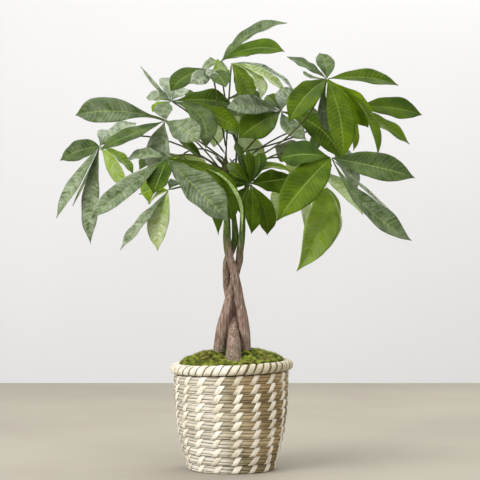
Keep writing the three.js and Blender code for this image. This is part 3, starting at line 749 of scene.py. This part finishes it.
# A leaf is the foot, bend and hub of its stalk, the way its upper side faces, and a row for each leaflet:
# its tip as seen from the hub, width and arch, then roll in degrees, tone, belly and sweep, which are 0,
# 0.1, 1 and 0 where a row leaves them out. Tone runs from -1, a pale sheen, through 0, deep green, and 1,
# lit through, to 2, lit through and pale. With more belly a leaflet is widest further out, and sweep bends
# it sideways.
LEAVES = {
    "leaf_a": ((-8, -4, 398), (-110, -10, 470), (-175, -20, 431), (-0.5, -0.3, 0.8), (
        (-57, 30, -18, 28, 8, -50, -0.15, 0.6, -0.011), (-57, -20, -95, 22, 8, -27, -0.55, 0.9, -0.045),
        (-12, -12, -130, 25, 8, -37, -0.55, 1, 0.011), (37, -30, -56, 26, 8, 41, 1.4, 1, -0.033),
        (45, 60, 36, 26, 8, 32, -0.68, 1, 0.022), (5, 60, 26, 22, 4, 42, -0.7, 1, 0.035),
        (-41, 40, -79, 6, 2, -39, -0.4, 1, -0.049), (45, 10, -37, 22, 6, 7, 1.15, 1, -0.061),
    )),
    "leaf_b": ((-8, -4, 412), (-42, -45, 438), (-87, -50, 462), (-0.2, -0.55, 0.8), (
        (-115, -25, 6, 38, 14, -36, -0.3, 1.35, 0.028), (-82, -40, -39, 26, 10, -12, -0.1, 1, -0.053),
        (-8, 0, -75, 38, 8, 0, -0.7, 0.9, 0.033), (47, -40, -29, 37, 10, 15, -0.45, 1.1, 0.01),
        (50, 20, -48, 22, 6, -3, 0, 1, 0.125),
    )),
    "leaf_c": ((-8, -4, 420), (-40, -2, 470), (-81, 0, 492), (0.1, -0.4, 0.9), (
        (-35, 20, 7, 22, 6, -29, -0.85, 1, 0.024), (-42, 30, 51, 8, 3, 1, -0.5, 0.6, -0.086),
        (-5, 40, 36, 24, 6, 8, -0.9, 1, -0.056), (96, -20, -44, 31, 14, 23, 0.4, 1.2, -0.005),
        (47, -45, -65, 33, 16, 20, -0.15, 1.1, -0.164), (-25, -10, -15, 15, 6, -5, 0.75, 1.3, 0.016),
        (16, 40, 23, 24, 6, 17, -0.9, 1, 0.006), (-4, -40, -27, 25, 6, 10, -0.55, 1, 0.145),
        (83, 20, -2, 34, 14, 31, 0.05, 1.1, 0.036),
    )),
    "leaf_d": ((-7, -4, 427), (-16, -6, 480), (-26, -10, 533), (-0.1, -0.4, 0.9), (
        (-54, -35, -31, 28, 12, -30, -0.03, 1.1, 0.052), (-27, -48, -22, 22, 6, -48, -0.75, 1.1, -0.053),
        (4, -25, -19, 20, 8, -24, -0.7, 1, 0.062), (19, -35, -26, 26, 8, 8, -0.08, 1.2, -0.002),
        (19, 40, 9, 24, 4, 46, 1.2, 1, 0.038),
    )),
    "leaf_e": ((8, 10, 436), (-12, 30, 490), (-14, 20, 548), (0.1, -0.4, 0.9), (
        (89, 10, 55, 26, 14, 7, -0.28, 0.9, -0.072), (85, -30, 10, 30, 12, 30, 0.15, 1, -0.065),
        (-28, 20, -9, 26, 6, -30, -0.6, 1, -0.081), (44, 90, 25, 28, 8, 31, 0.3, 1, -0.022),
    )),
    "leaf_f": ((-8, -4, 384), (-30, -70, 430), (-82, -110, 410), (0.1, -0.75, 0.65), (
        (-92, -57, -77, 28, 10, 1, -0.48, 1, -0.005), (-16, -28, -46, 32, 8, 17, 0, 1, -0.03),
        (81, -14, -81, 50, 12, -1, -0.42, 0.85, 0.037), (86, 35, -81, 38, 6, 9, 0.25, 1.45, -0.192),
        (-54, 40, 2, 24, 6, -2, -0.5, 1, 0.039), (97, -18, -91, 7, 9, -22, 1.5, 1, -0.391),
    )),
    "leaf_g": ((24, -1, 412), (100, -30, 445), (126, -40, 518), (0.05, -0.5, 0.85), (
        (-52, 30, 34, 18, 6, -5, -0.2, 0.85, -0.026), (-9, 30, 38, 25, 4, 0, -0.2, 0.8, 0.055),
        (96, 20, -6, 28, 10, 18, 0.15, 1, -0.019), (67, -10, -101, 18, 10, -6, 0.4, 1.3, -0.197),
        (19, -30, -108, 36, 10, 3, 0.32, 0.8, -0.041), (-52, -45, -60, 36, 12, -22, 0.2, 0.85, 0.013),
        (-30, 40, 16, 6, 2, -21, -0.4, 1, -0.155), (6, 25, -68, 22, 4, -12, -0.45, 1, 0.235),
        (56, 20, -63, 36, 8, 32, 0.9, 1.2, -0.02),
    )),
    "leaf_h": ((7, 10, 423), (85, 70, 440), (164, 10, 484), (0.3, -0.3, 0.9), (
        (95, 20, -8, 34, 10, 41, 0.15, 1.05, -0.016), (75, -10, -49, 25, 8, 23, 0.35, 1, 0.02),
        (-1, -30, -59, 16, 4, -26, 0.9, 1, -0.006), (37, 85, 6, 30, 6, 0, 0.05), (-27, 75, 0, 30, 10),
    )),
    "leaf_i": ((23, -2, 398), (75, -60, 440), (128, -100, 411), (0.1, -0.75, 0.65), (
        (-70, -35, -81, 47, 10, -10, 0.28, 0.68, 0.018), (-66, 5, -1, 42, 14, -4, 0, 1, 0.004),
        (107, -10, -25, 38, 12, 20, -0.12, 0.85, 0.028), (87, 20, -77, 14, 2, -33, -0.9, 1, 0.083),
        (102, -15, -105, 36, 8, -7, -0.28, 1.3, 0.141),
    )),
    "leaf_j": ((21, -2, 384), (75, -35, 395), (125, -60, 375), (0.4, -0.6, 0.7), (
        (-40, -20, -110, 47, 14, -9, 1.2, 0.55, -0.066), (-11, 30, -77, 24, 8, 84, 2, 0.9, -0.229),
        (7, 40, -58, 30, 10), (-2, 50, -50, 30, 10),
    )),
    "leaf_m": ((6.3, 10, 413), (40, 10, 450), (67, 20, 480), (0, -0.45, 0.9), (
        (81, -15, -65, 38, 10, 36, 0.15, 0.95, -0.091), (-19, 50, 26, 20, 5, -24, 0.25, 1, 0.001),
        (23, 30, 33, 34, 5, -2, -1, 1, -0.109), (-73, -60, 0, 30, 12, -45, -0.6, 1, -0.01),
        (-57, -50, -39, 44, 12, -32, 0.15, 1, -0.035), (33, -35, -40, 26, 6, 15, -0.4, 1.1, 0.129),
        (-17, 20, -28, 24, 8, -33),
    )),
    "leaf_n": ((7.5, 10, 431), (0, 30, 460), (-11, 60, 471), (0, -0.3, 0.95), (
        (29, -80, -20, 28, 8, 49, 1.5, 1, 0.056), (-13, -30, -39, 24, 6, -8, 2, 1, 0.03),
        (58, -20, -56, 30, 6, 23, 1.8, 1, 0.033), (-11, 50, 24, 26, 10, 38, 0.8),
    )),
    "leaf_o": ((-7.6, -4, 374), (-40, -40, 385), (-82, -60, 371), (-0.2, -0.6, 0.8), (
        (-61, -30, -77, 20, 8, 5, -0.62, 1.1, -0.039), (-13, -26, -79, 29, 8, -5, 1.95, 0.85, 0.035),
        (-27, 30, -17, 24, 6, 0, 1.5), (-40, 45, -4, 24, 8, 0, 1), (20, 50, 11, 28, 10),
    )),
    "leaf_p": ((20, -2, 377), (22, -25, 385), (25, -40, 380), (0.1, -0.7, 0.7), (
        (55, -45, 6, 35, 4, 87, 0, 1, 0.017), (55, 20, 18, 20, 14, -19, 0.55, 1, -0.37),
        (2, -25, -66, 24, 8, -20, 0.25, 1, -0.014), (23, 12, -68, 28, 8, 4, 0.22, 1, -0.08),
        (-14, 15, -38, 28, 6, 5, 0.1, 1, 0.047), (-19, 15, 58, 22, 6, 36, 0, 1, -0.069),
        (-5, -10, 45, 22, 6, 34, 0.35, 1, 0.02), (10, 30, 42, 24, 6, -30, 0, 1, 0.13),
        (-38, 22, 11, 30, 6, -19, 0.05, 1, -0.146), (-24, 18, 31, 28, 6, 5, 0.3, 1, -0.126),
    )),
    "leaf_q": ((-6.7, -4, 435), (-4, -8, 490), (0, -20, 541), (0.1, -0.4, 0.9), (
        (23, 25, -49, 31, 10, 71, 1.25, 1, -0.006), (40, -6, -48, 24, 12, 3, 2, 1, -0.211),
        (76, 20, -41, 20, 12, 18, 1.7, 1, -0.044), (88, 38, -34, 16, 12, 12, -1, 1, -0.115),
        (11, 60, -29, 24, 8, 93, 0.4),
    )),
    "leaf_r": ((-8, -4, 405), (-35, 50, 445), (-70, 95, 425), (-0.2, 0.4, 0.9), (
        (-47, 10, -68, 34, 8, -90, 1.05, 1, 0.179), (53, 0, -111, 28, 8, 106, 0.3, 1, -0.095),
        (-65, 80, -15, 34, 12), (-3, 100, -29, 36, 14), (28, 65, -27, 32, 6, 0, 1.6),
    )),
    "leaf_s": ((24, -1, 405), (60, 50, 430), (100, 110, 412), (0.1, 0.3, 0.9), (
        (-38, -60, -79, 28, 6, -40, 1.6, 1, 0.066), (78, -90, -69, 30, 4, 39, 1.7, 1.1, -0.084),
        (-11, 90, -15, 34, 12, 0, 1.4), (41, 60, -8, 32, 12), (-40, -50, 21, 36, 4, -134, -1, 1.2, 0.085),
        (1, -70, -88, 20, 6, -14, 1.85, 1, 0.015),
    )),
    "leaf_t": ((8, 10, 447), (14, 50, 500), (-20, 125, 500), (0, 0.4, 0.9), (
        (-30, 20, -20, 26, 6), (57, 30, -36, 34, 12), (-1, -35, -43, 26, 12), (63, 70, 13, 34, 12),
        (-48, 75, 11, 34, 12),
    )),
    "leaf_u": ((24.5, -1, 419), (80, 60, 465), (140, 110, 470), (0.2, 0.4, 0.9), (
        (50, 60, 9, 36, 6), (35, -40, -96, 34, 8, 62, -0.5, 1, 0.072), (-39, -20, -71, 34, 12),
        (-60, 70, 30, 34, 12), (19, 95, 0, 36, 12),
    )),
    "leaf_v": ((-8, -4, 391), (-78, 60, 492), (-150, 90, 480), (-0.2, 0.4, 0.9), (
        (21, 40, 5, 14, 4), (-40, 55, 9, 24, 4), (-16, 60, 16, 20, 4), (14, -30, 2, 16, 4),
    )),
}
HUB_RADIUS = 0.0028
STALK_RADIUS = 0.00115
STALK_FOOT = 0.0019
STALK_RINGS = 16
BLADE_THICKNESS = 0.0006
BLADE_END = 0.00013
BLADE_FOLD = 0.22
MIDRIB_GROOVE = 0.0005
QUILT_HEIGHT = 0.00055
VEIN_SPACING = 0.0058
VEIN_SLANT = 0.55
# Half width along a leaflet, from its foot at 0 to its tip at 1, as a share of the most.
BLADE_OUTLINE = [(0, 0.05), (0.05, 0.07), (0.12, 0.19), (0.22, 0.43), (0.34, 0.7), (0.46, 0.9), (0.57, 0.99),
                 (0.65, 1), (0.75, 0.92), (0.84, 0.7), (0.905, 0.4), (0.95, 0.17), (0.985, 0.05), (1, 0.01)]

blade = flat_master(12, 48)
blade_x, blade_y, blade_z = read_points(blade.data).T
blade_t = (blade_y + 1) / 2
blade_corner = np.empty(len(blade.data.loops), int)
blade.data.loops.foreach_get("vertex_index", blade_corner)
bpy.ops.mesh.primitive_uv_sphere_add(segments=8, ring_count=STALK_RINGS, radius=1)
stalk = bpy.context.object


def smooth_step(low, high, value):
    share = np.clip((value - low) / (high - low), 0, 1)
    return share * share * (3 - 2 * share)


def outline(t, belly):
    """The blade's outline at a share of its length, with its corners eased."""
    fine = np.linspace(0, 1, 201)
    width = np.interp(fine, *zip(*BLADE_OUTLINE))
    eased = np.convolve(np.pad(width, 4, mode="edge"), np.ones(9) / 9, mode="valid")
    return np.interp(t ** belly, fine, eased) * np.clip((1 - t) * 40, 0.05, 1)


def leaflet(draws, hub, face, x, y, z, width, arch, roll=0, tone=0.1, belly=1, sweep=0):
    tip = np.array([x, y, z]) / 1000
    width = width / 1000
    arch = arch / 1000
    length = np.linalg.norm(tip)
    chord = unit(tip)
    up = unit(face - np.dot(face, chord) * chord)
    start = hub + chord * HUB_RADIUS * 0.4
    turned = math.radians(roll)
    rolled = up * math.cos(turned) + np.cross(chord, up) * math.sin(turned)
    middle = hub + tip / 2 + up * arch + np.cross(chord, rolled) * 2 * sweep * length
    end = hub + tip
    t = blade_t[:, None]
    bow = (1 - t) ** 2 * start + 2 * t * (1 - t) * middle + t ** 2 * end
    # The blade's own directions at each point: along it, out of its upper side, and across it.
    along = 2 * (1 - t) * (middle - start) + 2 * t * (end - middle)
    along /= np.linalg.norm(along, axis=1)[:, None]
    normal = rolled - (along @ rolled)[:, None] * along
    normal /= np.linalg.norm(normal, axis=1)[:, None]
    across = np.cross(along, normal)
    half = np.maximum(width / 2 * outline(blade_t, belly * draws.uniform(0.94, 1.06)), BLADE_END)
    # Heights above the bare bow, from the midrib, where rim is 0, to the edges, where it is 1.
    rim = np.abs(blade_x)
    slant = rim ** 1.3 * width / 2 / VEIN_SPACING * VEIN_SLANT
    veins = blade_t * length / VEIN_SPACING - slant
    quilt = np.abs(np.sin(math.pi * veins)) ** 0.7 * rim ** 0.6 * (1 - rim ** 4)
    quilt *= smooth_step(0.05, 0.25, blade_t)
    waves = np.sin(2 * math.pi * blade_t * draws.uniform(2, 3.4) + np.sign(blade_x) * draws.uniform(0.4, 2)
                   + draws.uniform(0, 6))
    ripple = waves * rim ** 2.5 * half * draws.uniform(0.04, 0.13)
    groove = -MIDRIB_GROOVE * np.exp(-(blade_x / 0.09) ** 2) * smooth_step(0, 0.1, blade_t)
    fold = BLADE_FOLD * draws.uniform(0.6, 1.25) * half * rim ** 1.35
    droop = -0.03 * length * smooth_step(0.75, 1, blade_t) ** 2 * draws.uniform(0.2, 1)
    sway = draws.uniform(-0.012, 0.012) * length * np.sin(math.pi * blade_t ** 1.2)
    body = BLADE_THICKNESS * (1 - 0.6 * rim ** 4)
    rise = fold + ripple + QUILT_HEIGHT * quilt + groove + droop + body * blade_z
    points = bow + across * (blade_x * half + sway)[:, None] + normal * rise[:, None]
    first_vein = draws.randrange(60)
    uvs = np.stack([blade_x / 2 + 0.5, blade_t * length / VEIN_SPACING + first_vein], axis=1)[blade_corner]
    # The marks paint light into the colour: lit is light coming through the blade, and pale is a painted
    # sheen, stronger towards the tip.
    marks = {
        "lit": np.clip(tone, 0, 1),
        "pale": np.clip(max(-tone, tone - 1), 0, 1) * (0.55 + 0.45 * smooth_step(0.1, 0.5, blade_t)),
        "under": (blade_z < 0).astype(float),
        "stalk": 0,
        "slant": slant,
    }
    return shaped_copy(blade, points, uvs, marks)


def bent_stalk(foot, bend, hub):
    share = np.linspace(0, 1, STALK_RINGS + 1)[:, None]
    path = (1 - share) ** 2 * foot + 2 * share * (1 - share) * bend + share ** 2 * hub
    swell = np.exp(-(share[:, 0] / 0.05) ** 2) * (STALK_FOOT - STALK_RADIUS)
    joint = np.exp(-((1 - share[:, 0]) / 0.03) ** 2) * (HUB_RADIUS * 0.75 - STALK_RADIUS)
    marks = {"lit": 0.2, "pale": 0, "under": 0, "stalk": 1, "slant": 0}
    return drawn_out(stalk, path, STALK_RADIUS + swell + joint, marks=marks)


leaf_pieces = []
for number, (name, (foot, bend, hub, face, rows)) in enumerate(LEAVES.items()):
    draws = random.Random(100 + number)
    foot, bend, hub = np.array([foot, bend, hub]) / 1000
    face = unit(np.array(face))
    pieces = [bent_stalk(foot, bend, hub)]
    pieces += [leaflet(draws, hub, face, *row) for row in rows]
    leaf_pieces.append((joined(pieces, name + "_blades"), name))
bpy.data.objects.remove(blade)
bpy.data.objects.remove(stalk)

# Each is a darker and a lighter tone of one state: in shade, lit through, and a pale sheen over either.
DEEP_GREENS = [(0.35, paint(44, 67, 4)), (0.65, paint(73, 99, 8))]
LIT_GREENS = [(0.35, paint(104, 136, 4)), (0.65, paint(143, 171, 14))]
GREY_SHEEN = [(0.35, paint(159, 173, 141)), (0.65, paint(199, 209, 183))]
CREAM_SHEEN = [(0.35, paint(176, 188, 146)), (0.65, paint(208, 216, 184))]
STALK_BROWNS = [(0.35, paint(62, 68, 36)), (0.65, paint(108, 112, 66))]
VEIN_GREEN = paint(150, 172, 70)
RIB_GREEN = paint(168, 190, 96)
UNDER_DEEP = paint(112, 138, 80)
UNDER_LIT = paint(150, 178, 70)
UNDER_PALE = paint(204, 216, 170)
UNDER_RIB = paint(180, 194, 130)
GLOW_DEEP = paint(82, 108, 10)
GLOW_LIT = paint(152, 182, 18)
GLOW_PALE = paint(224, 230, 190)

leaf_green, tree, shader, place = finish("glossy_leaf", 0.42)
uv = node(tree, "SeparateXYZ", {0: node(tree, "TexCoord").outputs["UV"]})
mark = {label: marked(tree, label) for label in ("lit", "pale", "under", "stalk", "slant")}
middle = sums(tree, "ABSOLUTE", sums(tree, "SUBTRACT", uv.outputs[0], 0.5))
rib = ramp(tree, middle, [(0, 1.0), (0.012, 1.0), (0.03, 0.0)])
vein_row = sums(tree, "SUBTRACT", uv.outputs[1], mark["slant"])
vein = sums(tree, "ABSOLUTE", sums(tree, "SUBTRACT", sums(tree, "FRACT", vein_row), 0.5))
veins = ramp(tree, vein, [(0.34, 0.0), (0.5, 1.0)])
quilt = ramp(tree, vein, [(0.0, 1.0), (0.3, 0.8), (0.5, 0.0)], "EASE")
outwards = sums(tree, "MULTIPLY", uv.outputs[0], 2.2)
streaks = cloud(tree, node(tree, "CombineXYZ", {0: vein_row, 1: outwards}).outputs[0], 0.9, 3, 0.6)
mottle = cloud(tree, place, 45, 3, 0.5)
cells = cloud(tree, place, 420, 3, 0.6)
blotches = cloud(tree, place, 110, 3, 0.65)
# The painted sheen lies in streaks and blotches, and is darkened along the vein furrows as painted shade.
spread = sums(tree, "ADD", sums(tree, "MULTIPLY", streaks, 0.5), sums(tree, "MULTIPLY", blotches, 0.5))
patchy = ramp(tree, spread, [(0.39, 0.25), (0.5, 0.85), (0.61, 1.3)])
furrowed = sums(tree, "SUBTRACT", patchy, sums(tree, "MULTIPLY", veins, 0.37))
sheen = sums(tree, "MULTIPLY", mark["pale"], furrowed)
upper = blend(tree, mark["lit"], ramp(tree, mottle, DEEP_GREENS), ramp(tree, mottle, LIT_GREENS))
pale = blend(tree, mark["lit"], ramp(tree, mottle, GREY_SHEEN), ramp(tree, mottle, CREAM_SHEEN))
upper = blend(tree, sheen, upper, pale)
upper = blend(tree, sums(tree, "MULTIPLY", veins, 0.06), upper, VEIN_GREEN)
upper = blend(tree, sums(tree, "MULTIPLY", rib, 0.4), upper, RIB_GREEN)
gloss = sums(tree, "ADD", 0.16, sums(tree, "MULTIPLY", mark["pale"], 0.18))
tree.links.new(gloss, shader.inputs["Specular IOR Level"])
lower = blend(tree, mark["lit"], UNDER_DEEP, UNDER_LIT)
lower = blend(tree, mark["pale"], lower, UNDER_PALE)
lower = blend(tree, sums(tree, "MULTIPLY", rib, 0.6), lower, UNDER_RIB)
colour = blend(tree, mark["under"], upper, lower)
twig = ramp(tree, cells, STALK_BROWNS)
colour = blend(tree, mark["stalk"], colour, twig)
height = sums(tree, "ADD", sums(tree, "MULTIPLY", cells, 0.15), quilt)
surface(tree, shader, colour, height, 0.55, 0.001)
# The light that comes through a blade.
glow = blend(tree, mark["lit"], GLOW_DEEP, GLOW_LIT)
glow = blend(tree, sums(tree, "MULTIPLY", mark["lit"], mark["pale"]), glow, GLOW_PALE)
glow = blend(tree, mark["stalk"], glow, twig)
through = node(tree, "BsdfTranslucent", {"Color": glow})
mixed = node(tree, "MixShader", {0: 0.36, 1: shader.outputs[0], 2: through.outputs[0]})
tree.links.new(mixed.outputs[0], tree.nodes["Material Output"].inputs["Surface"])
for leaf, name in leaf_pieces:
    coat(leaf, leaf_green)
    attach(leaf, "root")
    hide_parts(name)


# Stage. A plain pale floor that ends in a pale wall, soft light from the upper left, and the camera.
# The camera stands level with the plant's middle, where the photograph was taken from.
# Floor and wall are clear from behind, so that the plant can be looked at from all round.
FLOOR_FRONT = -3.5
FLOOR_BACK = 1.313
STAGE_WIDTH = 8
WALL_HEIGHT = 4
FLOOR_TINTS = [(0.3, paint(145, 139, 127)), (0.7, paint(154, 148, 135))]
WALL_TINTS = [(0.3, paint(200, 200, 202)), (0.7, paint(205, 205, 206))]
ROOM_TINT = paint(242, 245, 250)
ROOM_LIGHT = 0.62
CAMERA_PLACE = (0.0114, -2.2, 0.306)
CAMERA_LENS = 123.15


def stage_sheet(name, centre, size, turned, tints, scale):
    bpy.ops.mesh.primitive_grid_add(x_subdivisions=4, y_subdivisions=4, size=1, location=centre,
                                    rotation=turned)
    sheet = bpy.context.object
    sheet.name = name
    sheet.scale = size
    bpy.ops.object.transform_apply(location=True, rotation=True, scale=True)
    sheet_paint, tree, shader, place = finish(name + "_paint", 0.8, Specular_IOR_Level=0.2)
    surface(tree, shader, ramp(tree, cloud(tree, place, scale, 3, 0.5), tints))
    behind = node(tree, "NewGeometry").outputs["Backfacing"]
    clear = node(tree, "BsdfTransparent").outputs[0]
    one_way = node(tree, "MixShader", {0: behind, 1: shader.outputs[0], 2: clear}).outputs[0]
    tree.links.new(one_way, tree.nodes["Material Output"].inputs["Surface"])
    coat(sheet, sheet_paint)


middle_y = (FLOOR_FRONT + FLOOR_BACK) / 2
floor_size = (STAGE_WIDTH, FLOOR_BACK - FLOOR_FRONT, 1)
wall_size = (STAGE_WIDTH, WALL_HEIGHT, 1)
stage_sheet("floor", (0, middle_y, 0), floor_size, (0, 0, 0), FLOOR_TINTS, 3)
stage_sheet("wall", (0, FLOOR_BACK, WALL_HEIGHT / 2), wall_size, (math.pi / 2, 0, 0), WALL_TINTS, 1)

world = bpy.data.worlds.new("soft_room")
bpy.context.scene.world = world
world.use_nodes = True
daylight = world.node_tree.nodes["Background"]
daylight.inputs["Color"].default_value = ROOM_TINT
daylight.inputs["Strength"].default_value = ROOM_LIGHT


def soft_light(name, place, target, size, power, colour):
    """A soft rectangle of light that stands at place and shines at target, with its power in watts."""
    lamp = bpy.data.lights.new(name, "AREA")
    lamp.shape = "RECTANGLE"
    lamp.size, lamp.size_y = size
    lamp.energy = power
    lamp.color = paint(*colour)[:3]
    holder = bpy.data.objects.new(name, lamp)
    holder.location = place
    holder.rotation_mode = "QUATERNION"
    holder.rotation_quaternion = (Vector(target) - Vector(place)).to_track_quat("-Z", "Y")
    bpy.context.scene.collection.objects.link(holder)


soft_light("window", (-1.6, -1.45, 1.35), (0, 0, 0.35), (1.4, 1.6), 72, (255, 253, 250))
soft_light("sky_panel", (0.1, -0.1, 2.4), (0, 0, 0.3), (2.2, 1.8), 36, (250, 252, 255))
soft_light("back_window", (0.5, 1.2, 1.35), (0, 0, 0.45), (1.5, 1.0), 24, (255, 255, 250))
soft_light("fill", (1.7, -1.5, 0.9), (0, 0, 0.25), (1.4, 1.4), 16, (255, 251, 244))

lens = bpy.data.cameras.new("camera")
lens.sensor_width = 36
lens.lens = CAMERA_LENS
lens.clip_start = 0.05
lens.clip_end = 50
camera = bpy.data.objects.new("camera", lens)
camera.location = CAMERA_PLACE
camera.rotation_euler = (math.pi / 2, 0, 0)
bpy.context.scene.collection.objects.link(camera)
bpy.context.scene.camera = camera
bpy.context.scene.view_settings.view_transform = "Standard"
